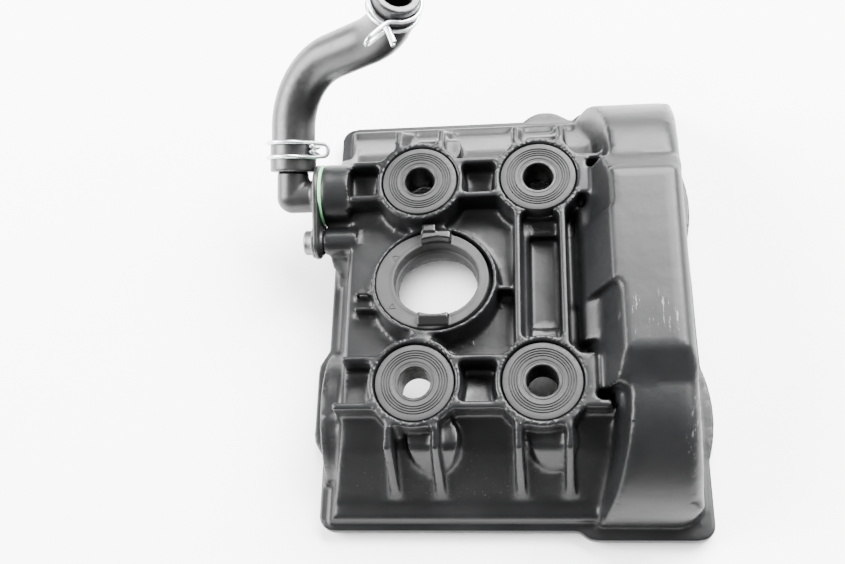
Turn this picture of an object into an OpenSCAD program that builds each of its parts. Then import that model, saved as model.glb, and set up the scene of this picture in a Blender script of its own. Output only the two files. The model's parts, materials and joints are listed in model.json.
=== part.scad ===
// Cylinder head cover of a single-head overhead-cam engine, with its seals,
// breather elbow, breather hose, hose clamps and the small parts inside.
// Origin: centre of the four bolt bosses, in the plane of their top faces.
// X runs towards the cam chain side, Y towards the back, Z up. Millimetres.

/* [Bolt bosses] */
// Distance between bolt centres along X
bolt_dx = 45; // [44:0.5:46]
// Distance between bolt centres along Y
bolt_dy = 80.5; // [79.5:0.5:81.5]
// Radius of the hole that the shouldered bolt passes through
bolt_hole_r = 5.7; // [5:0.1:6.2]
// Outer radius of a boss at its top face
boss_r = 16.6; // [16:0.1:17]
// Outer radius of a rubber grommet
grommet_r = 14.1; // [13.6:0.1:14.2]
// Depth of the grommet seat below the top face of the boss
seat_depth = 7; // [6:0.5:8]

/* [Casting] */
// Height of the boss tops above the joint face of the cylinder head
cover_h = 40; // [39:0.5:42]
// Wall thickness of the casting
wall = 3.6; // [3:0.1:4]
// Half of the cover's depth along Y, at the main flange
flange_half_y = 86; // [85:0.5:87]
// Half of the cover's depth along Y, at the chain housing flange
chain_half_y = 89.2; // [88.5:0.1:90]
// Left edge of the flange
flange_left = -61; // [-62:0.5:-60]
// Right edge of the flange, at the front
flange_right = 82; // [81:0.5:83]
// Thickness of the flange
flange_t = 4.5; // [4:0.5:5]
// Width of a stiffening rib
rib_w = 2.4; // [2:0.1:2.8]
// Distance of each camshaft axis from the middle of the cover, along Y
cam_y = 43.2; // [42.5:0.1:44]

/* [Spark plug tunnel] */
// Centre of the tunnel boss
tunnel_pos = [-16.7, 0.8, -4.5];
// Lean of the tunnel towards the back, in degrees
tunnel_tilt = 9; // [7:0.5:10]
// Outer radius of the tunnel boss
tunnel_boss_r = 23.3; // [22.8:0.1:23.5]
// Radius of the hole that the ignition coil passes through
coil_hole_r = 15.8; // [15:0.1:16]

/* [Breather] */
// Axis of the breather boss, as Y and Z
breather_yz = [41.9, -12.5];
// Axis of the elbow's screw boss, as Y and Z
screw_yz = [22.4, -15];
// Radius of the breather boss
breather_r = 12; // [11.5:0.1:12.5]
// Outer radius of the elbow's tube
elbow_r = 6.3; // [6:0.1:6.5]
// Outer radius of the hose where it is relaxed
hose_r = 8.6; // [8.4:0.1:8.8]
// Inner radius of the hose
hose_bore_r = 5.5; // [5:0.1:5.6]
// Wire diameter of the spring clamps
wire_d = 1.4; // [1.2:0.1:1.5]

/* [Hidden] */
$fn = 72;
eps = 0.02;
joint_z = -cover_h;
cover_z = joint_z + 1;
flange_top = cover_z + flange_t;
deep = joint_z - 20;
plate_z = 14;
barrel_r = 42.7;
barrel_y = cam_y - 1.2;
barrel_z = joint_z + 4.8;
barrel_top = barrel_z + barrel_r;
skirt_in = 3.1;
face_x = flange_left - 0.2;
ring_t = 1.4;
pad_t = 2.2;
boss_xy = [for (x = [-1, 1], y = [-1, 1]) [x * bolt_dx / 2, y * bolt_dy / 2]];
corner_tags = ["front_left", "back_left", "front_right", "back_right"];
seal_shift = -0.7;
coil_shift = 0.9;
sleeve_t = 1.2;
seal_r = 21.1;
tunnel_low_r = 19;
valley_depth = 3.2;
block_corner_r = 10.5;

// Route of the breather's centre line: elbow corner, two bends, free end
route = [[-74.8, 41.5, -12.5], [-72.6, 85.7, 9.6], [-31, 81.5, 37], [-24.2, 82.2, 58.2]];
bend_r = [27, 29];
hose_from = 10;
spigot_to = 24;

function unit(v) = v / norm(v);
function lerp(a, b, t) = a + (b - a) * t;
function turn(a, b) = acos(unit(a) * unit(b));
// Length that a rounded corner takes from each of its two straight legs
function tangent_len(a, b, r) = r * tan(turn(a, b) / 2);

// Draws 2D children, given as Y and Z, between two X positions
module extrude_x(x0, x1) {
  translate([x0, 0, 0]) rotate([90, 0, 90]) linear_extrude(height = x1 - x0) children();
}

// Draws 2D children, given as X and Z, between two Y positions
module extrude_y(y0, y1) {
  translate([0, y1, 0]) rotate([90, 0, 0]) linear_extrude(height = y1 - y0) children();
}

// Draws 2D children, given as X and Y, between two heights
module extrude_z(z0, z1) {
  translate([0, 0, z0]) linear_extrude(height = z1 - z0) children();
}

// Puts children that stand on Z at point p, looking towards point q
module aim(p, q) {
  d = q - p;
  translate(p) rotate([0, acos(d.z / norm(d)), atan2(d.y, d.x)]) children();
}

module rod(p, q, r) {
  aim(p, q) cylinder(h = norm(q - p), r = r);
}

module x_cylinder(x0, x1, yz, r) {
  translate([x0, yz[0], yz[1]]) rotate([0, 90, 0]) cylinder(h = x1 - x0, r = r);
}

// Round bar that turns the corner b between points a and c
module bend(a, b, c, r_bend, r) {
  u = unit(b - a);
  v = unit(c - b);
  n = unit(v - (u * v) * u);
  w = cross(-n, u);
  o = b - u * tangent_len(u, v, r_bend) + n * r_bend;
  multmatrix([
    [-n.x, u.x, w.x, o.x],
    [-n.y, u.y, w.y, o.y],
    [-n.z, u.z, w.z, o.z],
    [0, 0, 0, 1]
  ])
    rotate_extrude(angle = turn(u, v)) translate([r_bend, 0]) circle(r = r);
}

/* Casting: plan outline and sections */

module flange_plan() {
  polygon([
    [flange_left, -flange_half_y], [34, -flange_half_y], [38, -chain_half_y],
    [flange_right, -chain_half_y], [flange_right - 2.4, chain_half_y],
    [40, chain_half_y], [37, flange_half_y], [flange_left, flange_half_y]
  ]);
  polygon([[-60, -60], [-64.8, -52], [-64.8, -22], [-60, -14]]);
  polygon([[-60, 25], [-63.8, 31], [-63.8, 55], [-60, 61]]);
  intersection() {
    union() {
      translate([29.4, -cam_y]) circle(r = 55, $fn = 120);
      translate([27.2, cam_y]) circle(r = 55, $fn = 120);
    }
    translate([70, -80]) square([20, 160]);
  }
  translate([25.6, 78.5]) circle(r = 12);
}

// The same outline with rounded corners, moved inwards by a distance
module outline(inset) {
  offset(delta = -inset) offset(r = 6) offset(delta = -12) offset(delta = 6) flange_plan();
}

// Height of the main roof above the middle of the cover
function roof_z(y) = abs(y) < 26 ? -12 : -12 + 1.9 * (1 - cos(180 * (abs(y) - 26) / 22));

function roof_side(s) = [[s * 61, -14.5], [s * 77.2, -29.6], [s * 80.8, -30.2], [s * 82.3, -31.2], [s * 82.9, -33]];

module roof_section(w) {
  top = [for (y = [-48:4:48]) [y, roof_z(y)]];
  front = roof_side(-1);
  back = roof_side(1);
  offset(delta = -w) polygon(concat(
    [[-82.9, deep]], [for (i = [4:-1:0]) front[i]], top, back, [[82.9, deep]]
  ));
}

// Side view of the main body: its left wall leans inwards
module left_section(w) {
  offset(delta = -w) polygon([
    [-56.1, deep], [-56.1, -33], [-55.4, -31.3], [-54.3, -30.3], [-49.8, -11.5],
    [-48, -7], [-48, 30], [70, 30], [70, deep]
  ]);
}

// Plan of the roof: its right edge stops short of the chain housing, at a shallow valley
module roof_plan(w) {
  polygon([
    [-70, -92], [40.5 - w, -92], [41.5 - w, -80], [46 - w, -49 - w], [37 - w, -48.6 - w],
    [37 - w, 48 + w], [46 - w, 48.4 + w], [41.5 - w, 80], [40.5 - w, 92], [-70, 92]
  ]);
}

module main_body(w) {
  intersection() {
    union() {
      intersection() {
        extrude_x(-62, 60) roof_section(w);
        extrude_z(deep, 5) roof_plan(w);
      }
      extrude_x(-62, 56 - w) roof_section(w + valley_depth);
    }
    extrude_y(-90, 90) left_section(w);
    extrude_z(deep, 0) outline(skirt_in + w);
  }
}

// Half-round housing over the left end of each camshaft
module cam_ends(w) {
  for (s = [-1, 1]) {
    intersection() {
      x_cylinder(-58.6 + w, -40, [s * cam_y, joint_z], 26.5 - w);
      translate([-60, -80, deep]) cube([30, 160, 60]);
    }
  }
}

// Chain housing: each zone is [front, back, left edge, height of that edge, lean], then
// how far the front and back ends of its hollow shift along Y, in wall thicknesses
block_zones = [
  [-chain_half_y - 2, -43.5, 52.4, 8, 0.28, 0, 1],
  [-43.5, -9, 50.5, plate_z, 0.46, 1, 1],
  [-9, 19, 47.6, plate_z, 0.52, 1, -1],
  [19, 43.5, 48.6, plate_z, 0.46, -1, -1],
  [43.5, chain_half_y + 2, 49.2, 7.5, 0.28, -1, 0]
];

module block_section(x_edge, z_edge, lean, w) {
  low = x_edge - lean * (z_edge - deep);
  high = x_edge + lean * (20 - z_edge);
  polygon([
    [low + w, deep], [high + w, 20], [72 - w, 20], [72 - w, plate_z - w],
    [74.4 - w, 8.5 - w], [77.6 - w, -33], [77.6 - w, deep]
  ]);
}

module block_bulk(w) {
  for (s = [-1, 1]) {
    x_cylinder(20, 90, [s * barrel_y, barrel_z], barrel_r - w);
    extrude_x(20, 90) polygon([
      [0, deep], [s * (barrel_y + barrel_r - w), deep], [s * (barrel_y + barrel_r - w), barrel_z],
      [s * barrel_y, barrel_top - w], [0, barrel_top - w]
    ]);
  }
  extrude_x(20, 90) polygon([
    [-44 + w, 0], [-44 + w, barrel_top - w], [-33.8 + w / 2, plate_z - w],
    [33.8 - w / 2, plate_z - w], [44 - w, barrel_top - w], [44 - w, 0]
  ]);
}

// Plan of the chain housing, with large corners on its right side
module block_plan(w) {
  r = block_corner_r - w;
  x1 = 78.4 - w;
  y1 = barrel_y + barrel_r + 0.1 - w;
  polygon(concat(
    [[20, -y1]],
    [for (a = [-90:15:0]) [x1 - r + r * cos(a), -y1 + r + r * sin(a)]],
    [for (a = [0:15:90]) [x1 - r + r * cos(a), y1 - r + r * sin(a)]],
    [[20, y1]]
  ));
}

module chain_block(w) {
  intersection() {
    block_bulk(w);
    extrude_z(deep, 21) block_plan(w);
    union() {
      for (z = block_zones) {
        extrude_y(z[0] + z[5] * w - eps, z[1] + z[6] * w) block_section(z[2], z[3], z[4], w);
      }
    }
    extrude_z(deep, 20) outline(skirt_in + w);
  }
}

/* Casting: ribs, fins, domes and bosses */

module box(x0, x1, y0, y1, z0, z1) {
  translate([x0, y0, z0]) cube([x1 - x0, y1 - y0, z1 - z0]);
}

// Ribs of the top face, as [x0, x1, y0, y1]
top_ribs = [
  [-49, 40.8, -32.7, -30.3], [-51.4, 46, -50.2, -47.5],
  [-49, 46.5, 47.2, 49.6], [-49.5, 40.8, 32.6, 35],
  [13.2, 13.2 + rib_w, -32, 34], [29.8, 29.8 + rib_w, -32, 34],
  [39, 41, -50, -30.5], [38.6, 40.6, 32.8, 49.4]
];

// Fins that run down the front and back slopes
fin_x = [-31.4, -14.9, 13.9, 31.3];

module fins() {
  for (x = fin_x) {
    intersection() {
      extrude_x(x - 4, x + 4) {
        polygon([[-48, 0], [-57, 0], [-63.8, -2.4], [-75.8, -27.6], [-74, -34], [-48, -20]]);
        polygon([[48, 0], [57, 0], [63.8, -2.4], [79, -29], [74, -34], [48, -20]]);
      }
      for (s = [-1, 1]) {
        extrude_z(-40, 2) polygon([
          [x - 1.2, s * 47], [x - 1.2, s * 60], [x - 1.9, s * 80],
          [x + 1.9, s * 80], [x + 1.2, s * 60], [x + 1.2, s * 47]
        ]);
      }
    }
  }
}

// Slanting webs between the long ribs and the fins
module fin_webs() {
  for (s = [-1, 1]) {
    for (i = [0:3]) {
      side = i % 2 == 0 ? -1 : 1;
      x = fin_x[i] + side * 1.1;
      extrude_z(-16, 0) polygon([
        [x, s * 49], [x + side * 4.6, s * 49], [x + side * 4.6, s * 50], [x, s * 55]
      ]);
    }
  }
}

// Round humps that clear the bearing cap bolts: a level top, then a steep face
module domes() {
  for (s = [-1, 1]) {
    for (d = [[-16.4, 10.6], [25.6, 9.6]]) {
      intersection() {
        translate([d[0], s * 58.5, -30]) cylinder(h = 24, r1 = d[1] + 0.4, r2 = d[1] - 1.6);
        extrude_x(-40, 50) polygon([
          [s * 46, -7], [s * 61, -7], [s * 63, -8.4], [s * 69.4, -22.5], [s * 69.4, -34], [s * 46, -34]
        ]);
      }
    }
  }
}

module boss_columns() {
  for (p = boss_xy) {
    translate([p.x, p.y, -seat_depth - 5]) cylinder(h = seat_depth + 5, r1 = boss_r + 1, r2 = boss_r);
  }
}

// Places children on the leaning axis of the spark plug tunnel
module on_tunnel(shift = 0) {
  translate(tunnel_pos) rotate([-tunnel_tilt, 0, 0]) translate([shift, 0, 0]) children();
}

module tunnel_column() {
  on_tunnel() translate([0, 0, -15]) cylinder(h = 15.6, r1 = tunnel_boss_r + 1.2, r2 = tunnel_boss_r);
}

// Short ribs that tie the tunnel boss to the left wall and to the long rib
module tunnel_ribs() {
  box(-46.5, -36, -3.6, -2.2, -14, -6.4);
  box(-46.5, -36, -10.2, -8.8, -14, -6.4);
  box(2, 14, -3.6, -1.8, -14, -5);
  box(17, 20.2, -3.6, -1.8, -14, -7);
}

// Low steps inside the long pocket between the two right-hand bosses
module pocket_steps() {
  box(15, 18.2, -24, 27, -15, -8.5);
  box(15, 30, 19.5, 28, -15, -9.5);
  box(15, 30, -25, -17.5, -15, -10.5);
}

// Lugs in the valley beside the chain housing, over the guide's screws
module valley_lugs() {
  for (y = [[-24.5, -8], [18, 28.5]]) {
    extrude_y(y[0], y[1]) polygon([[34.8, -18], [36, -8], [37.6, -5], [43, -1.6], [46, -2.4], [47, -18]]);
  }
}

module breather_bosses() {
  x_cylinder(face_x, -50.4, breather_yz, breather_r);
  x_cylinder(face_x, -48, screw_yz, 4.9);
  box(face_x + 1, -48, screw_yz[0], breather_yz[0], -21, -13.4);
  x_cylinder(-59.4, -50, [screw_yz[0] + 0.4, -24], 7.4);
  extrude_x(-57.8, -50) polygon([[15.4, -24], [30.2, -24], [34, flange_top], [12, flange_top]]);
}

module casting_outside() {
  main_body(0);
  cam_ends(0);
  chain_block(0);
  fins();
  fin_webs();
  domes();
  breather_bosses();
  tunnel_ribs();
  valley_lugs();
  for (r = top_ribs) {
    box(r[0], r[1], r[2], r[3], -16, 0);
  }
}

module bolt_cuts() {
  for (p = boss_xy) {
    translate([p.x, p.y, -seat_depth]) cylinder(h = seat_depth + 1, r = grommet_r + 0.45);
    translate([p.x, p.y, -seat_depth - 15]) cylinder(h = 16, r = 10);
  }
}

module tunnel_cuts() {
  on_tunnel() translate([0, 0, -4]) cylinder(h = 6, r = seal_r + 0.8);
  on_tunnel(coil_shift) translate([0, 0, -17]) cylinder(h = 20, r = coil_hole_r + sleeve_t + 0.05);
  on_tunnel(coil_shift) translate([0, 0, -17]) cylinder(h = 6, r = tunnel_low_r);
}

// Seat of the seal under the tunnel boss
module tunnel_seat() {
  on_tunnel(coil_shift) translate([0, 0, -16]) cylinder(h = 3, r = tunnel_low_r + 3);
}

// Seat of the elbow's spigot, the passage from it down into the cover, and the insert's hole
module breather_cuts() {
  x_cylinder(face_x - 1, -52, breather_yz, 8.05);
  box(-55.1, -44, breather_yz[0] - 4, breather_yz[0] + 4, -20, -14.4);
  x_cylinder(face_x - 1, -49.5, screw_yz, 3.45);
}

module head_cover() {
  color([0.05, 0.05, 0.055])
  difference() {
    union() {
      difference() {
        intersection() {
          union() {
            casting_outside();
            extrude_z(cover_z, flange_top) outline(0);
          }
          translate([-100, -100, cover_z]) cube([200, 200, 80]);
        }
        main_body(wall);
        cam_ends(wall);
        chain_block(wall);
      }
      boss_columns();
      tunnel_column();
      for (y = guide_y) {
        translate([62, y, -8]) cylinder(h = 20, r = 5);
      }
      for (p = baffle_xy) {
        translate([p.x, p.y, -18]) cylinder(h = 5, r = 3.6);
      }
      difference() {
        box(13, 33, -30, 33, -17, -12.4);
        box(15.6, 29.8, -22.6, 25.6, -13.6, 0);
      }
      pocket_steps();
    }
    difference() {
      box(rib_x0, 29.8, -22.6, 25.6, -13.6, 1);
      pocket_steps();
    }
    bolt_cuts();
    tunnel_cuts();
    tunnel_seat();
    breather_cuts();
    groove();
    for (y = guide_y) {
      translate([62, y, -9]) cylinder(h = 13, r = 2.05);
    }
    for (p = baffle_xy) {
      translate([p.x, p.y, -19]) cylinder(h = 5.5, r = 1.65);
    }
  }
}

rib_x0 = 13.2 + rib_w;

/* Seals */

module groove() {
  extrude_z(cover_z - 1, cover_z + 2.6) difference() {
    outline(1.7);
    outline(4.5);
  }
}

module cover_gasket() {
  color([0.03, 0.03, 0.03]) {
    extrude_z(joint_z, cover_z) difference() {
      outline(0.7);
      outline(5.3);
    }
    extrude_z(cover_z, cover_z + 2.4) difference() {
      outline(1.8);
      outline(4.4);
    }
  }
}

// Tab of the coil seal: a straight inner face and a sloping outer face
module seal_tab(height, spread) {
  extrude_x(-5.6, 5.6) polygon([
    [coil_hole_r - 0.6, -2], [coil_hole_r - 0.6, height], [coil_hole_r + 1.6 + spread, height],
    [coil_hole_r + 4.6 + spread, 0.9], [coil_hole_r + 4.4, 0.8], [coil_hole_r + 4.4, -2]
  ]);
}

module coil_seal() {
  color([0.2, 0.2, 0.2])
  difference() {
    union() {
      on_tunnel(seal_shift) translate([0, 0, -4]) cylinder(h = 4, r = seal_r);
      on_tunnel(coil_shift) translate([0, 0, -9]) cylinder(h = 9.4, r = coil_hole_r + sleeve_t);
      on_tunnel(coil_shift) translate([-0.5, 0, 0]) mirror([0, 1, 0]) seal_tab(2.6, 0);
      on_tunnel(coil_shift) translate([-0.5, 0, 0]) seal_tab(4.2, 1.4);
      on_tunnel(coil_shift) translate([-5.6, 18.5, 3]) cube([5, 3.2, 2]);
    }
    on_tunnel(coil_shift) translate([0, 0, -4.2]) cylinder(h = 4.8, r = coil_hole_r);
    on_tunnel(coil_shift) translate([0, 0, -10]) cylinder(h = 30, r = coil_hole_r - 0.9);
    on_tunnel(coil_shift) translate([0, 0, 0.4]) cylinder(h = 10, r = coil_hole_r + 0.5);
  }
}

module tunnel_gasket() {
  color([0.03, 0.03, 0.03])
  on_tunnel(coil_shift) translate([0, 0, -16.6]) difference() {
    cylinder(h = 3.6, r = tunnel_low_r + 2.9);
    translate([0, 0, -1]) cylinder(h = 6, r = tunnel_low_r + 0.2);
  }
}

// Rubber grommet: the front pair sits a little lower in its seats than the back pair
module grommet(i) {
  p = boss_xy[i];
  sink = p.y < 0 ? 1.1 : 0.2;
  color([0.16, 0.16, 0.16])
  translate([p.x, p.y, 0]) difference() {
    rotate_extrude() polygon([
      [6.95, -14], [9.7, -14], [9.7, -seat_depth], [grommet_r, -seat_depth],
      [grommet_r, -sink - 0.4], [grommet_r - 0.4, -sink], [7.6, -sink], [7.6, -sink - 0.5], [6.95, -sink - 0.5]
    ]);
    for (r = [8.8, 9.9, 11]) {
      translate([0, 0, -sink]) rotate_extrude() translate([r, 0]) square([0.3, 0.7], center = true);
    }
  }
}

// Bush bonded inside a grommet, which stops the bolt from crushing the rubber
module bush(i) {
  color([0.12, 0.12, 0.12])
  translate([boss_xy[i].x, boss_xy[i].y, -14.4]) difference() {
    cylinder(h = 14.45, r = 6.9);
    translate([0, 0, -1]) cylinder(h = 16, r = bolt_hole_r);
  }
}

/* Breather */

leg_1 = route[1] - route[0];
leg_2 = route[2] - route[1];
leg_3 = route[3] - route[2];
function on_leg(s) = route[0] + unit(leg_1) * s;
function on_tip(s) = route[3] - unit(leg_3) * s;
straight_1 = norm(leg_1) - tangent_len(leg_1, leg_2, bend_r[0]);
straight_3 = norm(leg_3) - tangent_len(leg_2, leg_3, bend_r[1]);
mid_a = route[1] + unit(leg_2) * tangent_len(leg_1, leg_2, bend_r[0]);
mid_b = route[2] - unit(leg_2) * tangent_len(leg_2, leg_3, bend_r[1]);
plate_x = face_x - ring_t;

module breather_elbow() {
  stub = [route[0].y, route[0].z];
  color([0.06, 0.06, 0.06])
  difference() {
    union() {
      extrude_x(plate_x - pad_t, plate_x) hull() {
        translate(breather_yz) circle(r = breather_r);
        translate(screw_yz) circle(r = 6.6);
      }
      x_cylinder(plate_x - eps, face_x, breather_yz, 9.9);
      x_cylinder(plate_x - eps, face_x + 6, breather_yz, 8);
      x_cylinder(plate_x - eps, face_x, screw_yz, 4.9);
      x_cylinder(route[0].x, plate_x - pad_t + eps, stub, elbow_r);
      x_cylinder(plate_x - pad_t - 1, plate_x - pad_t + eps, stub, elbow_r + 0.9);
      translate(route[0]) sphere(r = elbow_r);
      rod(route[0], on_leg(hose_from - 0.6), elbow_r);
      rod(route[0], on_leg(spigot_to), 5.5);
      rod(on_leg(spigot_to - 4), on_leg(spigot_to - 2.5), 5.9);
    }
    x_cylinder(route[0].x, face_x + 14, stub, 4.1);
    translate(route[0]) sphere(r = 4.1);
    rod(route[0], on_leg(spigot_to + 1), 4.1);
    x_cylinder(plate_x - pad_t - 1, face_x + 1, screw_yz, 3.3);
  }
}

module elbow_o_ring() {
  color([0.25, 0.75, 0.25])
  translate([plate_x, breather_yz[0], breather_yz[1]]) rotate([0, 90, 0]) rotate_extrude() polygon([
    [10.2, 0], [11.7, 0], [12.1, 0.35], [12.1, ring_t - 0.35], [11.7, ring_t], [10.2, ring_t]
  ]);
}

module elbow_bolt() {
  head_x = plate_x - pad_t;
  color([0.55, 0.54, 0.52])
  difference() {
    union() {
      x_cylinder(head_x - 0.9, head_x, screw_yz, 6.1);
      x_cylinder(head_x - 4.2, head_x - 0.9 + eps, screw_yz, 4.9);
      x_cylinder(head_x - eps, face_x + 10, screw_yz, 3);
    }
    x_cylinder(head_x - 5, head_x - 2, screw_yz, 2.4);
  }
}

module bolt_insert() {
  color([0.7, 0.6, 0.3])
  difference() {
    x_cylinder(face_x + 0.3, face_x + 9, screw_yz, 3.4);
    x_cylinder(face_x, face_x + 10, screw_yz, 3.05);
  }
}

// The hose's run as a round bar from start to finish: bends are a touch fatter than the legs
module hose_run(r, start, finish) {
  lap = 0.5;
  rod(start, on_leg(straight_1 + lap), r);
  bend(route[0], route[1], route[2], bend_r[0], r + 0.04);
  rod(mid_a - unit(leg_2) * lap, mid_b + unit(leg_2) * lap, r);
  bend(route[1], route[2], route[3], bend_r[1], r + 0.04);
  rod(on_tip(straight_3 + lap), finish, r);
}

module breather_hose() {
  cuff = spigot_to - hose_from - 3;
  color([0.08, 0.08, 0.08])
  difference() {
    union() {
      hose_run(hose_r, on_leg(hose_from + 2), route[3]);
      rod(on_leg(hose_from), on_leg(hose_from + cuff), hose_r + 0.5);
    }
    hose_run(hose_bore_r, on_leg(hose_from + 4), on_tip(-1));
    rod(on_leg(hose_from - 1), on_leg(spigot_to + 0.5), 5.98);
  }
}

// Double-wire spring clamp round Z: two hoops, a looped ear and two plain ends
module wire_clamp(hoop_r, gap) {
  r = wire_d / 2;
  thin = r - 0.06;
  mid_r = hoop_r + r + 0.1;
  color([0.8, 0.82, 0.83]) {
    for (z = [-gap / 2, gap / 2]) {
      translate([0, 0, z]) rotate_extrude() translate([mid_r, 0]) circle(r = r, $fn = 24);
      rod([mid_r, 0, z], [mid_r + 3.6, 3.4, z], thin);
    }
    rod([mid_r + 3.6, 3.4, -gap / 2 - r], [mid_r + 3.6, 3.4, gap / 2 + r], r);
    rod([mid_r, 0, -gap / 2 - r - 0.3], [mid_r, 0, gap / 2 + r + 0.3], r + 0.09);
    for (z = [-0.9, 0.9]) {
      rod([mid_r, 0, z], [mid_r + 3.4, -3.6, z], thin);
    }
  }
}

module lower_clamp() {
  aim(on_leg(18.5), route[1]) rotate([0, 0, 60]) wire_clamp(hose_r + 0.5, 5.6);
}

module upper_clamp() {
  aim(on_tip(6.5), route[3]) rotate([0, 0, 215]) wire_clamp(hose_r, 5);
}

/* Inside the cover */

baffle_xy = [for (x = [-42.5, -2.5], y = [31.5, 52.5]) [x, y]];
guide_y = [-15, 15];

module baffle_plate() {
  color([0.6, 0.62, 0.64])
  difference() {
    extrude_z(-19.2, -18) polygon([
      [-47, 30], [-44.5, 27.5], [-0.5, 27.5], [2, 30], [2, 54], [-0.5, 56.5], [-44.5, 56.5], [-47, 54]
    ]);
    translate([-bolt_dx / 2, bolt_dy / 2, -25]) cylinder(h = 12, r = 7);
    for (p = baffle_xy) {
      translate([p.x, p.y, -21]) cylinder(h = 6, r = 1.8);
    }
  }
}

module baffle_screws() {
  color([0.6, 0.6, 0.6])
  for (p = baffle_xy) {
    translate([p.x, p.y, -21.2]) cylinder(h = 2, r = 3);
    translate([p.x, p.y, -21]) cylinder(h = 7, r = 1.6);
  }
}

// Upper guide of the cam chain: a steel carrier with a plastic sliding pad
module chain_guide() {
  color([0.6, 0.62, 0.64])
  difference() {
    extrude_y(-24, 24) polygon([[55, -8], [69, -8], [69, -10], [55, -10]]);
    for (y = guide_y) {
      translate([62, y, -12]) cylinder(h = 6, r = 2.2);
    }
  }
}

module guide_pad() {
  color([0.12, 0.12, 0.12])
  difference() {
    extrude_x(56, 68) polygon([
      [-24, -10], [24, -10], [28, -15], [24, -16.5], [-24, -16.5], [-28, -15]
    ]);
    for (y = guide_y) {
      translate([62, y, -20]) cylinder(h = 12, r = 4.2);
    }
  }
}

module guide_screws() {
  color([0.6, 0.6, 0.6])
  for (y = guide_y) {
    translate([62, y, -12.5]) cylinder(h = 2.5, r = 3.6);
    translate([62, y, -12]) cylinder(h = 13, r = 2);
  }
}

head_cover();
cover_gasket();
coil_seal();
tunnel_gasket();
grommet(0);  // grommet_front_left
grommet(1);  // grommet_back_left
grommet(2);  // grommet_front_right
grommet(3);  // grommet_back_right
bush(0);  // bush_front_left
bush(1);  // bush_back_left
bush(2);  // bush_front_right
bush(3);  // bush_back_right
breather_elbow();
elbow_o_ring();
elbow_bolt();
bolt_insert();
breather_hose();
lower_clamp();
upper_clamp();
baffle_plate();
baffle_screws();
chain_guide();
guide_pad();
guide_screws();
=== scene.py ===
"""Looks of a cast cylinder head cover with its seals, breather elbow, hose and clamps."""
import json
import math

import bmesh
import bpy
import numpy as np
import openvdb
from mathutils import Matrix, Vector


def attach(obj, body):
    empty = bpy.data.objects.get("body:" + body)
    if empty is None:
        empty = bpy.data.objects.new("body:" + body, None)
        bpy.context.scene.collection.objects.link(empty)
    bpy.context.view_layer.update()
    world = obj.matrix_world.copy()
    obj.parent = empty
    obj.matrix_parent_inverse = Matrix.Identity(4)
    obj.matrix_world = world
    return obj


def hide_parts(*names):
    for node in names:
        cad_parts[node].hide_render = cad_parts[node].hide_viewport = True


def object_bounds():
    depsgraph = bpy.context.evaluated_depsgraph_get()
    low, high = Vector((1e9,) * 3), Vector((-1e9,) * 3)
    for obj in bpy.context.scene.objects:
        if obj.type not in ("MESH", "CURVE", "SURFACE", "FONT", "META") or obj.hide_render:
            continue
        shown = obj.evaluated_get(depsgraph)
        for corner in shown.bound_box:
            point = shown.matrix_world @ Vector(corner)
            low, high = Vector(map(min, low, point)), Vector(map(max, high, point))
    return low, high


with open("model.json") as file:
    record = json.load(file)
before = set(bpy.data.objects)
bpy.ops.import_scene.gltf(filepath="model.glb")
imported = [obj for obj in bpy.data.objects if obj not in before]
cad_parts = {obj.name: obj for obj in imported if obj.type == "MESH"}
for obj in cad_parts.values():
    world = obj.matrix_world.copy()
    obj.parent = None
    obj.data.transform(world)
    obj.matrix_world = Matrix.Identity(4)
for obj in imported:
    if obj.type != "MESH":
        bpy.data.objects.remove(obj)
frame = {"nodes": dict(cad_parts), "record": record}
CAD_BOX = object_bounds()
MM = 0.001


# ---------------------------------------------------------------- camera and light

CAMERA_AT = Vector((25.72, -157.85, 351.53)) * MM
CAMERA_RIGHT = Vector((0.99258, 0.02436, -0.11913))
CAMERA_UP = Vector((0.02576, 0.91538, 0.40176))
IMAGE_WIDTH = 845
FOCAL_LENGTH = 1060
SENSOR = 36.0
LENS = SENSOR * FOCAL_LENGTH / IMAGE_WIDTH
WORLD_STRENGTH = 0.6


def add_camera():
    """Camera above the front of the cover. FOCAL_LENGTH and IMAGE_WIDTH share one unit."""
    data = bpy.data.cameras.new("camera")
    data.sensor_width = SENSOR
    data.lens = LENS
    data.clip_start = 0.01
    camera = bpy.data.objects.new("camera", data)
    back = CAMERA_RIGHT.cross(CAMERA_UP).normalized()
    axes = Matrix((CAMERA_RIGHT, CAMERA_UP, back)).transposed().to_4x4()
    camera.matrix_world = Matrix.Translation(CAMERA_AT) @ axes
    bpy.context.scene.collection.objects.link(camera)
    bpy.context.scene.camera = camera


def area_light(name, place, target, size, power, spread=180):
    """White rectangular light at place, in metres, aimed at target."""
    data = bpy.data.lights.new(name, "AREA")
    data.spread = math.radians(spread)
    data.shape = "RECTANGLE"
    data.size, data.size_y = size
    data.energy = power
    lamp = bpy.data.objects.new(name, data)
    lamp.location = place
    aim = Vector(target) - Vector(place)
    lamp.rotation_euler = aim.to_track_quat("-Z", "Y").to_euler()
    bpy.context.scene.collection.objects.link(lamp)


def add_lights():
    """Soft white studio light, and a faint glow inside the coil port."""
    area_light("back_softbox", (0.55, 1.0, 1.05), (0, 0, 0), (1.6, 1.0), 270)
    area_light("left_softbox", (-1.1, 0.1, 0.7), (0, 0, 0), (0.9, 0.9), 95)
    area_light("right_softbox", (1.0, 0.3, 0.8), (0, 0, 0), (0.8, 0.8), 22)
    area_light("port_glow", (-0.016, 0.002, -0.022), (-0.016, 0.006, -0.2),
               (0.03, 0.03), 0.012, spread=70)
    world = bpy.data.worlds.new("studio")
    world.use_nodes = True
    background = world.node_tree.nodes["Background"]
    background.inputs["Color"].default_value = (1, 1, 1, 1)
    background.inputs["Strength"].default_value = WORLD_STRENGTH
    bpy.context.scene.world = world


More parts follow.
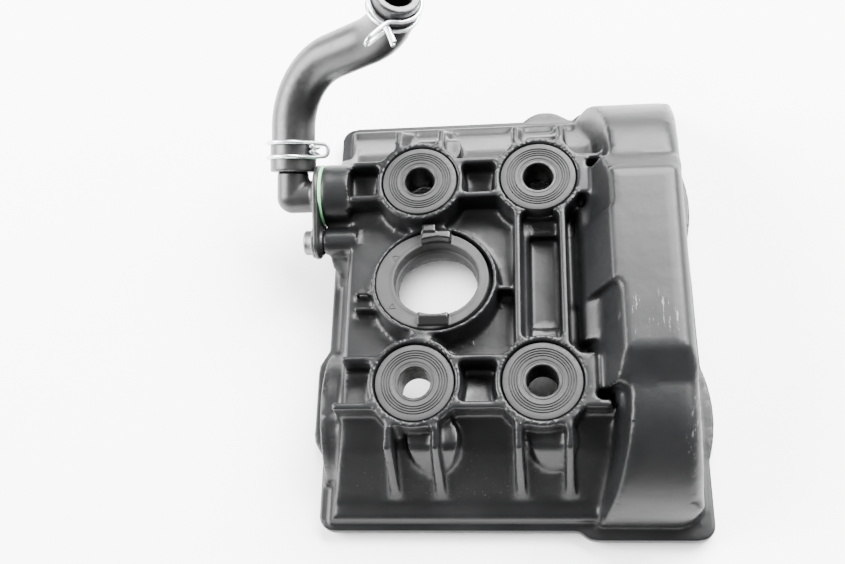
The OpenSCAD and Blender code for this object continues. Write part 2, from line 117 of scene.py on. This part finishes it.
# ---------------------------------------------------------------- materials

class Nodes:
    """Short names for building a material's node tree."""

    def __init__(self, name):
        self.material = bpy.data.materials.new(name)
        self.material.use_nodes = True
        self.tree = self.material.node_tree
        self.shader = self.tree.nodes["Principled BSDF"]
        self.place = self.node("ShaderNodeTexCoord").outputs["Object"]

    def node(self, kind, **values):
        made = self.tree.nodes.new(kind)
        for key, value in values.items():
            setattr(made, key, value)
        return made

    def link(self, source, target):
        self.tree.links.new(source, target)

    def scaled(self, factors):
        mapping = self.node("ShaderNodeMapping")
        mapping.inputs["Scale"].default_value = factors
        self.link(self.place, mapping.inputs["Vector"])
        return mapping.outputs["Vector"]

    def noise(self, scale, detail=3.0, rough=0.5, vector=None):
        made = self.node("ShaderNodeTexNoise")
        made.inputs["Scale"].default_value = scale
        made.inputs["Detail"].default_value = detail
        made.inputs["Roughness"].default_value = rough
        self.link(vector or self.place, made.inputs["Vector"])
        return made.outputs["Fac"]

    def ramp(self, value, stops):
        made = self.node("ShaderNodeValToRGB")
        while len(made.color_ramp.elements) < len(stops):
            made.color_ramp.elements.new(0.5)
        for element, (place, colour) in zip(made.color_ramp.elements, stops):
            element.position = place
            element.color = (*colour, 1)
        self.link(value, made.inputs["Fac"])
        return made.outputs["Color"]

    def span(self, value, low, high, from_low=0.3, from_high=0.7):
        """Maps from_low..from_high to low..high."""
        made = self.node("ShaderNodeMapRange")
        made.inputs["From Min"].default_value = from_low
        made.inputs["From Max"].default_value = from_high
        made.inputs["To Min"].default_value = low
        made.inputs["To Max"].default_value = high
        self.link(value, made.inputs["Value"])
        return made.outputs["Result"]

    def maths(self, how, a, b):
        made = self.node("ShaderNodeMath", operation=how)
        for socket, value in zip(made.inputs, (a, b)):
            if isinstance(value, (int, float)):
                socket.default_value = value
            else:
                self.link(value, socket)
        return made.outputs[0]

    def mix(self, factor, a, b):
        made = self.node("ShaderNodeMix", data_type="RGBA")
        for key, value in ((0, factor), (6, a), (7, b)):
            if isinstance(value, (tuple, float, int)):
                made.inputs[key].default_value = value
            else:
                self.link(value, made.inputs[key])
        return made.outputs[2]

    def region(self, centre, reach):
        """1 inside an ellipsoid, in mm, fading to 0 at its edge."""
        parts = self.node("ShaderNodeSeparateXYZ")
        self.link(self.place, parts.inputs[0])
        total = None
        for axis in range(3):
            away = self.maths("SUBTRACT", parts.outputs[axis], centre[axis] * MM)
            share = self.maths("MULTIPLY", away, 1 / (reach[axis] * MM))
            part = self.maths("POWER", self.maths("ABSOLUTE", share, 0), 2)
            total = part if total is None else self.maths("ADD", total, part)
        return self.span(total, 1, 0, 0.4, 1.0)

    def bump(self, *layers):
        """Chains height layers, each (value, depth in mm)."""
        normal = None
        for value, depth in layers:
            made = self.node("ShaderNodeBump")
            made.inputs["Strength"].default_value = 1.0
            made.inputs["Distance"].default_value = depth * MM
            self.link(value, made.inputs["Height"])
            if normal:
                self.link(normal, made.inputs["Normal"])
            normal = made.outputs["Normal"]
        self.link(normal, self.shader.inputs["Normal"])

    def set(self, **values):
        for key, value in values.items():
            socket = self.shader.inputs[key.replace("_", " ")]
            if isinstance(value, (int, float)):
                socket.default_value = value
            else:
                self.link(value, socket)


# Grey of bare metal where the coating is worn; the same grey is also a painted highlight on the front
# barrel
WORN_METAL_AND_GLINT = (0.2, 0.2, 0.205, 1)
TAB_RUBBER = (0.003, 0.003, 0.003, 1)

# The seal's leaning axis, and the heights along it in metres between which its tabs begin
SEAL_AXIS = (0, 0.156434, 0.987688)
TAB_START = -0.0039
TAB_FULL = -0.0037


def grey(value):
    return (value, value, value)


def casting_material():
    """Satin black coating on a casting: soft waves, fine peel, wear on edges and in patches, and a
    painted speckled highlight along the front barrel's right edge.
    """
    m = Nodes("casting_black")
    cloud = m.noise(35, 4)
    peel = m.noise(1500, 2)
    wave = m.noise(70, 3)
    base = m.ramp(cloud, [(0.3, (0.003, 0.0031, 0.0034)), (0.7, (0.006, 0.0062, 0.0066))])
    edge = m.span(m.node("ShaderNodeNewGeometry").outputs["Pointiness"], 0, 1, 0.53, 0.6)
    chips = m.maths("MULTIPLY", edge, m.span(m.noise(420, 4, 0.7), 0, 0.3, 0.58, 0.66))
    scrapes = m.span(m.noise(900, 4, 0.7, m.scaled((1, 0.14, 1))), 0, 0.65, 0.6, 0.66)
    plate_worn = m.maths("MULTIPLY", scrapes, m.region((60, -22, 13), (14, 9, 6)))
    faint = m.maths("MULTIPLY", scrapes, 0.4)
    # Painted highlight: faint grey speckles along the front barrel's right edge stand in for light
    # glinting there
    barrel_painted_glint = m.maths("MULTIPLY", faint, m.region((73, -60, 0), (4, 22, 14)))
    specks = m.span(m.noise(1500, 2, 0.6), 0, 0.4, 0.7, 0.74)
    slope_worn = m.maths("MULTIPLY", specks, m.region((-10, -68, -22), (44, 14, 12)))
    edge_and_plate_worn = m.maths("MAXIMUM", chips, plate_worn)
    # The barrel's painted highlight joins the slope's wear specks, then all wear and the painted
    # highlight go into one mask
    front_glint_and_wear = m.maths("MAXIMUM", barrel_painted_glint, slope_worn)
    wear_and_glint = m.maths("MAXIMUM", edge_and_plate_worn, front_glint_and_wear)
    colour = m.mix(wear_and_glint, base, WORN_METAL_AND_GLINT)
    m.link(colour, m.shader.inputs["Base Color"])
    m.set(Roughness=m.maths("ADD", m.span(cloud, 0.34, 0.44), m.span(peel, -0.03, 0.03)))
    m.set(Metallic=0.0, IOR=1.5)
    m.shader.inputs["Specular IOR Level"].default_value = 0.26
    m.bump((wave, 0.25), (peel, 0.012))
    return m.material


def rubber_material(name, dark, light, rough, scale=900, depth=0.02, shine=0.35):
    """Moulded rubber: matte, slightly mottled, with a fine grain."""
    m = Nodes(name)
    mottle = m.noise(160, 4)
    grain = m.noise(scale, 3)
    m.link(m.ramp(mottle, [(0.3, dark), (0.7, light)]), m.shader.inputs["Base Color"])
    m.set(Roughness=m.span(grain, rough - 0.06, rough + 0.08))
    m.shader.inputs["Specular IOR Level"].default_value = shine
    m.bump((mottle, 0.06), (grain, depth))
    return m.material


def seal_material():
    """Grey seal whose two lifting tabs, above its flat face, are darker and smoother."""
    m = Nodes("seal_rubber")
    up = m.node("ShaderNodeVectorMath", operation="DOT_PRODUCT")
    m.link(m.place, up.inputs[0])
    up.inputs[1].default_value = SEAL_AXIS
    above = m.span(up.outputs["Value"], 0, 1, TAB_START, TAB_FULL)
    mottle = m.noise(160, 4)
    face = m.ramp(mottle, [(0.3, grey(0.014)), (0.7, grey(0.022))])
    m.link(m.mix(above, face, TAB_RUBBER), m.shader.inputs["Base Color"])
    m.set(Roughness=m.maths("SUBTRACT", 0.66, m.maths("MULTIPLY", above, 0.3)))
    m.shader.inputs["Specular IOR Level"].default_value = 0.3
    m.bump((mottle, 0.06), (m.noise(900, 3), 0.02))
    return m.material


def metal_material(name, dark, light, rough):
    """Plated or plain metal: brightness drifts, with fine scuffs."""
    m = Nodes(name)
    cloud = m.noise(220, 5)
    scuff = m.noise(500, 4, 0.6)
    m.link(m.ramp(cloud, [(0.35, dark), (0.65, light)]), m.shader.inputs["Base Color"])
    m.set(Roughness=m.span(scuff, rough - 0.08, rough + 0.12), Metallic=1.0)
    m.bump((scuff, 0.01),)
    return m.material


def plastic_material(name, dark, light, rough):
    """Filled nylon: fine moulded texture with faint flow marks."""
    m = Nodes(name)
    flow = m.noise(60, 3, vector=m.scaled((1, 4, 1)))
    grain = m.noise(1300, 2)
    m.link(m.ramp(flow, [(0.3, dark), (0.7, light)]), m.shader.inputs["Base Color"])
    m.set(Roughness=m.span(grain, rough - 0.04, rough + 0.06))
    m.bump((flow, 0.03), (grain, 0.02))
    return m.material


def floor_material():
    """Matte near-white floor with a faint drift of tone."""
    m = Nodes("floor_white")
    tone = m.noise(8, 2)
    m.link(m.ramp(tone, [(0.3, grey(0.93)), (0.7, grey(0.96))]), m.shader.inputs["Base Color"])
    m.set(Roughness=0.9)
    m.shader.inputs["Specular IOR Level"].default_value = 0.1
    return m.material


def make_materials():
    """One material for each slot of the part."""
    return {
        "casting_black": casting_material(),
        "gasket_rubber": rubber_material("gasket_rubber", grey(0.012), grey(0.02), 0.6),
        "seal_rubber": seal_material(),
        "grommet_rubber": rubber_material("grommet_rubber", grey(0.012), grey(0.02), 0.62),
        "bush_steel": metal_material("bush_steel", grey(0.03), grey(0.06), 0.45),
        "elbow_plastic": plastic_material("elbow_plastic", grey(0.006), grey(0.01), 0.38),
        "ring_green": rubber_material("ring_green", (0.16, 0.42, 0.2), (0.25, 0.55, 0.3), 0.45),
        "screw_steel": metal_material("screw_steel", grey(0.1), grey(0.17), 0.42),
        "insert_brass": metal_material("insert_brass", (0.5, 0.36, 0.14), (0.62, 0.46, 0.2), 0.35),
        "hose_rubber": rubber_material("hose_rubber", grey(0.006), grey(0.011), 0.36, 700, 0.012, 0.6),
        "clamp_zinc": metal_material("clamp_zinc", (0.5, 0.52, 0.54), (0.7, 0.71, 0.72), 0.3),
        "sheet_steel": metal_material("sheet_steel", grey(0.38), grey(0.5), 0.4),
        "pad_nylon": plastic_material("pad_nylon", grey(0.03), grey(0.05), 0.5),
    }


# ---------------------------------------------------------------- meshes

# Chain housing, in mm: its body with round ends centred BARREL_DEPTH below the origin,
# the raised plate with sloping ends on top, and the leaning right side with its shoulder
BARREL_END, BARREL_DEPTH, BARREL_RADIUS = 42, 35.2, 42.7
PLATE_END, PLATE_Z = 33.8, 14
END_SLOPE = (0.537, 0.843)
RIGHT_X, RIGHT_Z, RIGHT_LEAN = 74.4, 8.5, 0.077
SHOULDER_X, SHOULDER_SLOPE = 72, (0.917, 0.4)
EDGE_RADIUS, EXTRA_RADIUS = 2.4, 3.2
EXTRA_BAND = (36, 50)

# Bands, in mm, over which one rounding gives way to another
HOUSING_BAND = (46.5, 49.5)
CORNER_BAND = (51.5, 54.5)
LEFT_CORNER_BAND = (36, 39)
RIGHT_CORNER_BAND = (35.4, 38)
FLANGE_BAND = (-31.5, -28.5)
ENVELOPE_BAND = (58, 62)
ENVELOPE_FOOT = (-33, -29)

# Distance in mm that takes the envelope out of play, and the grid's margin in voxels
FAR_OUTSIDE = 120
GRID_MARGIN = 12

# Rounding of the cover, in mm: (radius of inner corners, radius of outer edges)
FINE_ROUNDING = (1.3, 0.55)
BROAD_ROUNDING = (3.0, 1.42)
COVER_VOXEL = 0.45
COVER_ADAPT = 0.12


def mesh_arrays(thing):
    """Points in mm and triangles of an object."""
    mesh = thing.data
    mesh.calc_loop_triangles()
    points = np.empty(len(mesh.vertices) * 3, dtype=np.float32)
    mesh.vertices.foreach_get("co", points)
    corners = np.empty(len(mesh.loop_triangles) * 3, dtype=np.int32)
    mesh.loop_triangles.foreach_get("vertices", corners)
    return points.reshape(-1, 3) / MM, corners.reshape(-1, 3).astype(np.uint32)


def level_set(points, triangles, quads, voxel, reach):
    """Signed distance grid of a mesh, true up to reach mm from it."""
    transform = openvdb.createLinearTransform(voxelSize=voxel)
    return openvdb.FloatGrid.createLevelSetFromPolygons(
        points.astype(np.float32), triangles=triangles, quads=quads,
        transform=transform, halfWidth=reach / voxel + 3)


def rounded_grid(points, triangles, fillet, edge, voxel):
    """Fills inner corners to radius fillet and rounds outer edges: the surface is at distance edge."""
    grid = level_set(points, triangles, None, voxel, fillet)
    grown = grid.convertToPolygons(isovalue=fillet)
    grid = level_set(grown[0], grown[1], grown[2], voxel, fillet + edge)
    shrunk = grid.convertToPolygons(isovalue=-(fillet + edge))
    return level_set(shrunk[0], shrunk[1], shrunk[2], voxel, edge)


def step(value, start, end):
    """Rises smoothly from 0 at start to 1 at end."""
    t = np.clip((value - start) / (end - start), 0, 1)
    return t * t * (3 - 2 * t)


def housing_envelope(x, y, z):
    """Signed distance to the chain housing with its right edges rounded off in a broad curve."""
    barrel = np.hypot(np.maximum(y - BARREL_END, 0), z + BARREL_DEPTH) - BARREL_RADIUS
    end_slope = (y - PLATE_END) * END_SLOPE[0] + (z - PLATE_Z) * END_SLOPE[1]
    plate = np.maximum(z - PLATE_Z, end_slope)
    section = np.minimum(barrel, plate)
    face = (x - RIGHT_X) + RIGHT_LEAN * (z - RIGHT_Z)
    shoulder = (x - SHOULDER_X) * SHOULDER_SLOPE[0] + (z - PLATE_Z) * SHOULDER_SLOPE[1]
    right = np.maximum(face, shoulder)
    radius = EDGE_RADIUS + EXTRA_RADIUS * step(y, *EXTRA_BAND)
    both = np.hypot(np.maximum(radius + section, 0), np.maximum(radius + right, 0))
    return np.minimum(-radius, np.maximum(section, right)) + both


def cover_surface(points, triangles, voxel):
    """Fine rounding on ribs and bosses, broad rounding on the chain housing and the outer corners.

    Known fault: the casting's faces end up turned inward, unlike those made by add_rounded.
    """
    low = np.floor(points.min(axis=0) / voxel).astype(int) - GRID_MARGIN
    high = np.ceil(points.max(axis=0) / voxel).astype(int) + GRID_MARGIN
    start = tuple(int(v) for v in low)
    layers = []
    for fillet, edge in (FINE_ROUNDING, BROAD_ROUNDING):
        grid = rounded_grid(points, triangles, fillet, edge, voxel)
        layer = np.empty(high - low, np.float32)
        grid.copyToArray(layer, ijk=start)
        layers.append(layer - edge)
    x, y, z = (((np.arange(a, b) * voxel).astype(np.float32)) for a, b in zip(low, high))
    x, y, z = x[:, None, None], np.abs(y)[None, :, None], z[None, None, :]
    ends = np.maximum(step(-x, *LEFT_CORNER_BAND), step(x, *RIGHT_CORNER_BAND))
    share = np.maximum(step(x, *HOUSING_BAND), step(y, *CORNER_BAND) * ends)
    share = share * step(z, *FLANGE_BAND)
    field = layers[0] + (layers[1] - layers[0]) * share
    beyond = FAR_OUTSIDE * (1 - step(x, *ENVELOPE_BAND) * step(z, *ENVELOPE_FOOT))
    field = np.maximum(field, housing_envelope(x, y, z) - beyond)
    reach = float(np.abs(field).max())
    grid = openvdb.FloatGrid(reach)
    grid.copyFromArray(np.ascontiguousarray(field), ijk=start)
    grid.transform = openvdb.createLinearTransform(voxelSize=voxel)
    return grid.convertToPolygons(isovalue=0.0, adaptivity=COVER_ADAPT)


def mesh_object(name, points, triangles, quads):
    """Smooth object from points in mm, with the corners of each face in reverse order."""
    mesh = bpy.data.meshes.new(name)
    count = len(triangles) + len(quads)
    loops = np.concatenate([triangles[:, ::-1].ravel(), quads[:, ::-1].ravel()]).astype(np.int32)
    sizes = np.concatenate([np.full(len(triangles), 3), np.full(len(quads), 4)])
    starts = np.concatenate([[0], np.cumsum(sizes)[:-1]]).astype(np.int32)
    mesh.vertices.add(len(points))
    mesh.vertices.foreach_set("co", (points * MM).astype(np.float32).ravel())
    mesh.loops.add(len(loops))
    mesh.loops.foreach_set("vertex_index", loops)
    mesh.polygons.add(count)
    mesh.polygons.foreach_set("loop_start", starts)
    mesh.update(calc_edges=True)
    mesh.validate()
    mesh.shade_smooth()
    thing = bpy.data.objects.new(name, mesh)
    bpy.context.scene.collection.objects.link(thing)
    return thing


SLOT_OF = {part["node"]: part["material_slot"] for part in frame["record"]["subparts"]}
BODY_OF = {
    node: body for body, nodes in frame["record"]["behaviour"]["bodies"].items() for node in nodes
}


def dress(piece, node):
    """Gives a new piece the body, slot and material of the node it stands for."""
    piece.data.materials.clear()
    piece.data.materials.append(MATERIALS[SLOT_OF[node]])
    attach(piece, BODY_OF[node])
    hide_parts(node)


def add_rounded(node, fillet, edge, voxel):
    """The node's own shape with its corners filled and its edges rounded, sizes in mm."""
    points, triangles = mesh_arrays(frame["nodes"][node])
    grid = rounded_grid(points, triangles, fillet, edge, voxel)
    surface = grid.convertToPolygons(isovalue=edge, adaptivity=0.0)
    dress(mesh_object(node + "_shape", *surface), node)


def solid_object(name, points, faces, place=None, crease=35):
    """Closed mesh in mm, put at a place, smooth except at edges sharper than crease degrees."""
    mesh = bpy.data.meshes.new(name)
    mesh.from_pydata([tuple(p) for p in np.asarray(points, float) * MM], [], faces)
    shape = bmesh.new()
    shape.from_mesh(mesh)
    bmesh.ops.recalc_face_normals(shape, faces=shape.faces)
    if place:
        bmesh.ops.transform(shape, matrix=place, verts=shape.verts)
    shape.to_mesh(mesh)
    shape.free()
    mesh.shade_smooth()
    mesh.set_sharp_from_angle(angle=math.radians(crease))
    thing = bpy.data.objects.new(name, mesh)
    bpy.context.scene.collection.objects.link(thing)
    return thing


def lathe(name, profile, place, count=120):
    """Closed profile of (radius, height) corners in mm, turned round the Z of place."""
    ring = np.array(profile)
    turns = np.linspace(0, 2 * math.pi, count, endpoint=False)[:, None]
    points = np.stack([np.cos(turns) * ring[:, 0], np.sin(turns) * ring[:, 0],
                       np.repeat(ring[None, :, 1], count, 0)], axis=-1).reshape(-1, 3)
    n = len(ring)
    faces = []
    for a in range(count):
        here = a * n
        ahead = (a + 1) % count * n
        for b in range(n):
            after = (b + 1) % n
            faces.append((here + b, here + after, ahead + after, ahead + b))
    return solid_object(name, points, faces, place)


def softened(corners, rounds):
    """Rounds the corners of an open path by cutting them again and again."""
    path = np.array(corners, float)
    for _ in range(rounds):
        after = np.roll(path, -1, axis=0)
        cut = np.stack([0.75 * path + 0.25 * after, 0.25 * path + 0.75 * after], axis=1)
        path = np.concatenate([path[:1], cut[:-1].reshape(-1, 3), path[-1:]])
    return path


def wire(name, path, radius, place, sides=14):
    """Round wire along a path in mm, with domed ends."""
    heading = np.gradient(path, axis=0)
    heading /= np.linalg.norm(heading, axis=1)[:, None]
    side = np.cross(heading[0], (0.3, 0.2, 1.0))
    points = [path[0] - heading[0] * radius * 0.5]
    rows = []
    turns = np.linspace(0, 2 * math.pi, sides, endpoint=False)
    for here, ahead in zip(path, heading):
        side = side - ahead * side.dot(ahead)
        side /= np.linalg.norm(side)
        other = np.cross(ahead, side)
        rows.append(len(points))
        points.extend(here + radius * (math.cos(t) * side + math.sin(t) * other) for t in turns)
    points.append(path[-1] + heading[-1] * radius * 0.5)
    last = len(points) - 1
    faces = [(0, rows[0] + k, rows[0] + (k + 1) % sides) for k in range(sides)]
    faces += [(last, rows[-1] + (k + 1) % sides, rows[-1] + k) for k in range(sides)]
    for a, b in zip(rows, rows[1:]):
        faces += [(a + k, a + (k + 1) % sides, b + (k + 1) % sides, b + k) for k in range(sides)]
    return solid_object(name, points, faces, place, 60)


def frame_at(origin, axis, spin=0.0):
    """Place in metres with Z along axis, as the part's own aim does, then turned by spin degrees."""
    d = Vector(axis).normalized()
    tilt = math.acos(d.z)
    around = math.atan2(d.y, d.x)
    turn = Matrix.Rotation(around, 4, "Z") @ Matrix.Rotation(tilt, 4, "Y")
    turn = turn @ Matrix.Rotation(math.radians(spin), 4, "Z")
    return Matrix.Translation(Vector(origin) * MM) @ turn


def add_cover():
    """The casting, with its edges rounded."""
    points, triangles = mesh_arrays(frame["nodes"]["head_cover"])
    surface = cover_surface(points, triangles, COVER_VOXEL)
    dress(mesh_object("head_cover_shape", *surface), "head_cover")


# Centre of each bolt boss and how deep its grommet sits, in mm
BOSSES = {"front_left": (-22.5, -40.25, 1.1), "back_left": (-22.5, 40.25, 0.2),
          "front_right": (22.5, -40.25, 1.1), "back_right": (22.5, 40.25, 0.2)}

# Radii of the fine rings in a grommet's top
GROOVES = (11.7, 10.8, 9.9, 9.0)


def add_grommet(corner):
    """Rubber grommet with fine rings in its top, and the steel bush pressed flush into it."""
    x, y, sink = BOSSES[corner]
    top = -sink
    profile = [(6.95, -14), (9.7, -14), (9.7, -7), (14.1, -7),
               (14.1, top - 0.6), (13.95, top - 0.2), (13.6, top)]
    for r in GROOVES:
        profile += [(r + 0.34, top), (r + 0.24, top - 0.08), (r + 0.14, top - 0.45),
                    (r - 0.14, top - 0.45), (r - 0.24, top - 0.08), (r - 0.34, top)]
    profile += [(7.9, top), (7.7, top - 0.1), (7.5, top - 0.35), (6.95, top - 0.4)]
    place = frame_at((x, y, 0), (0, 0, 1))
    dress(lathe("grommet_" + corner + "_shape", profile, place), "grommet_" + corner)
    rim = [(5.7, -14.4), (6.9, -14.4), (6.9, top - 0.45),
           (6.7, top - 0.25), (6.05, top - 0.25), (5.7, top - 0.6)]
    dress(lathe("bush_" + corner + "_shape", rim, place), "bush_" + corner)


# Breather in mm: where its O-ring and screw sit, then the elbow, its corner, the hose's bend
# and the hose's open mouth
RING_X = -62.6
BOLT_X = -64.8
ELBOW = np.array((-74.8, 41.5, -12.5))
CORNER = np.array((-72.6, 85.7, 9.6))
BEND = np.array((-31.0, 81.5, 37.0))
MOUTH = np.array((-24.2, 82.2, 58.2))
CLAMP_WIRE = 0.8


def unit(v):
    return v / np.linalg.norm(v)


def add_clamp(node, origin, axis, spin, hoop, gap, ear, tail, way=1):
    """One bent wire: a plain end, a hoop, a looped ear, a second hoop and the other plain end."""
    half = gap / 2
    start = 0.9
    path = [(hoop + tail, -4.6, 1.1), (hoop + tail * 0.5, -2.2, start), (hoop + 0.5, 0.4, start)]
    for degrees in range(10, 352, 6):
        a = math.radians(degrees)
        lift = start + (half - start) * min(1.0, (degrees - 10) / 80)
        path.append((hoop * math.cos(a), hoop * math.sin(a), lift))
    path += [(hoop + 0.6, -0.2, half), (hoop + ear * 0.5, 2.2, half * 0.9),
             (hoop + ear, 4.4, half * 0.75)]
    path += [(x, y, -z) for x, y, z in reversed(path)]
    path = softened(path, 2) * (1, way, 1)
    dress(wire(node + "_shape", path, CLAMP_WIRE, frame_at(origin, axis, spin)), node)


def add_breather_parts():
    """Clamps on the hose, and the elbow's screw and O-ring."""
    first, last = unit(CORNER - ELBOW), unit(MOUTH - BEND)
    add_clamp("lower_clamp", ELBOW + first * 18.5, first, 242, 9.95, 5.6, 4.4, 4.0)
    add_clamp("upper_clamp", MOUTH - last * 6.5, last, 250, 9.45, 5.0, 10.5, 7.0, -1)
    screw = [(0.03, -13.6), (2.6, -13.6), (3.0, -13.2), (3.0, 0), (6.0, 0), (6.1, 0.12),
             (6.1, 0.7), (5.9, 0.9), (5.05, 1.0), (4.85, 1.3), (4.85, 3.3), (4.7, 3.8),
             (4.3, 4.15), (3.8, 4.2), (2.6, 4.2), (2.4, 4.0), (2.4, 2.0), (0.03, 2.0)]
    place = frame_at((BOLT_X, 22.4, -15), (-1, 0, 0))
    dress(lathe("elbow_bolt_shape", screw, place, 72), "elbow_bolt")
    ring = [(11.15 + 0.95 * math.cos(a), 0.7 + 0.7 * math.sin(a))
            for a in np.linspace(0, 2 * math.pi, 17)[:-1]]
    place = frame_at((RING_X, 41.9, -12.5), (1, 0, 0))
    dress(lathe("elbow_o_ring_shape", ring, place), "elbow_o_ring")


def add_seal_marks():
    """Two small moulded triangles that show how the seal goes in."""
    place = Matrix.Translation(Vector((-16.7, 0.8, -4.5)) * MM)
    place = place @ Matrix.Rotation(math.radians(-9), 4, "X")
    marks = (("seal_mark_back", -14.8, 10.0, -1), ("seal_mark_front", -14.9, -11.6, 1))
    for name, x, y, way in marks:
        corners = []
        for degrees in (0, 120, 240, 360, 480):
            a = math.radians(degrees)
            corners.append((x + 1.5 * math.sin(a), y + way * 1.5 * math.cos(a), 0.1))
        path = np.concatenate([np.linspace(a, b, 12) for a, b in zip(corners[:-1], corners[1:])])
        dress(wire(name, path, 0.17, place, 8), "coil_seal")


def add_floor():
    """Wide floor just under the lowest point of the part."""
    bpy.ops.mesh.primitive_plane_add(size=6, location=(0, 0, CAD_BOX[0][2] - 0.0005))
    floor = bpy.context.object
    floor.name = "floor"
    floor.data.materials.append(floor_material())


# ---------------------------------------------------------------- build

MATERIALS = make_materials()
add_camera()
add_lights()
add_floor()

for node, thing in frame["nodes"].items():
    thing.data.materials.clear()
    thing.data.materials.append(MATERIALS[SLOT_OF[node]])

add_cover()
for corner in BOSSES:
    add_grommet(corner)
add_breather_parts()
add_rounded("coil_seal", 0.4, 0.3, 0.25)
add_seal_marks()
add_rounded("breather_elbow", 1.0, 0.5, 0.3)
add_rounded("breather_hose", 0.5, 0.5, 0.35)
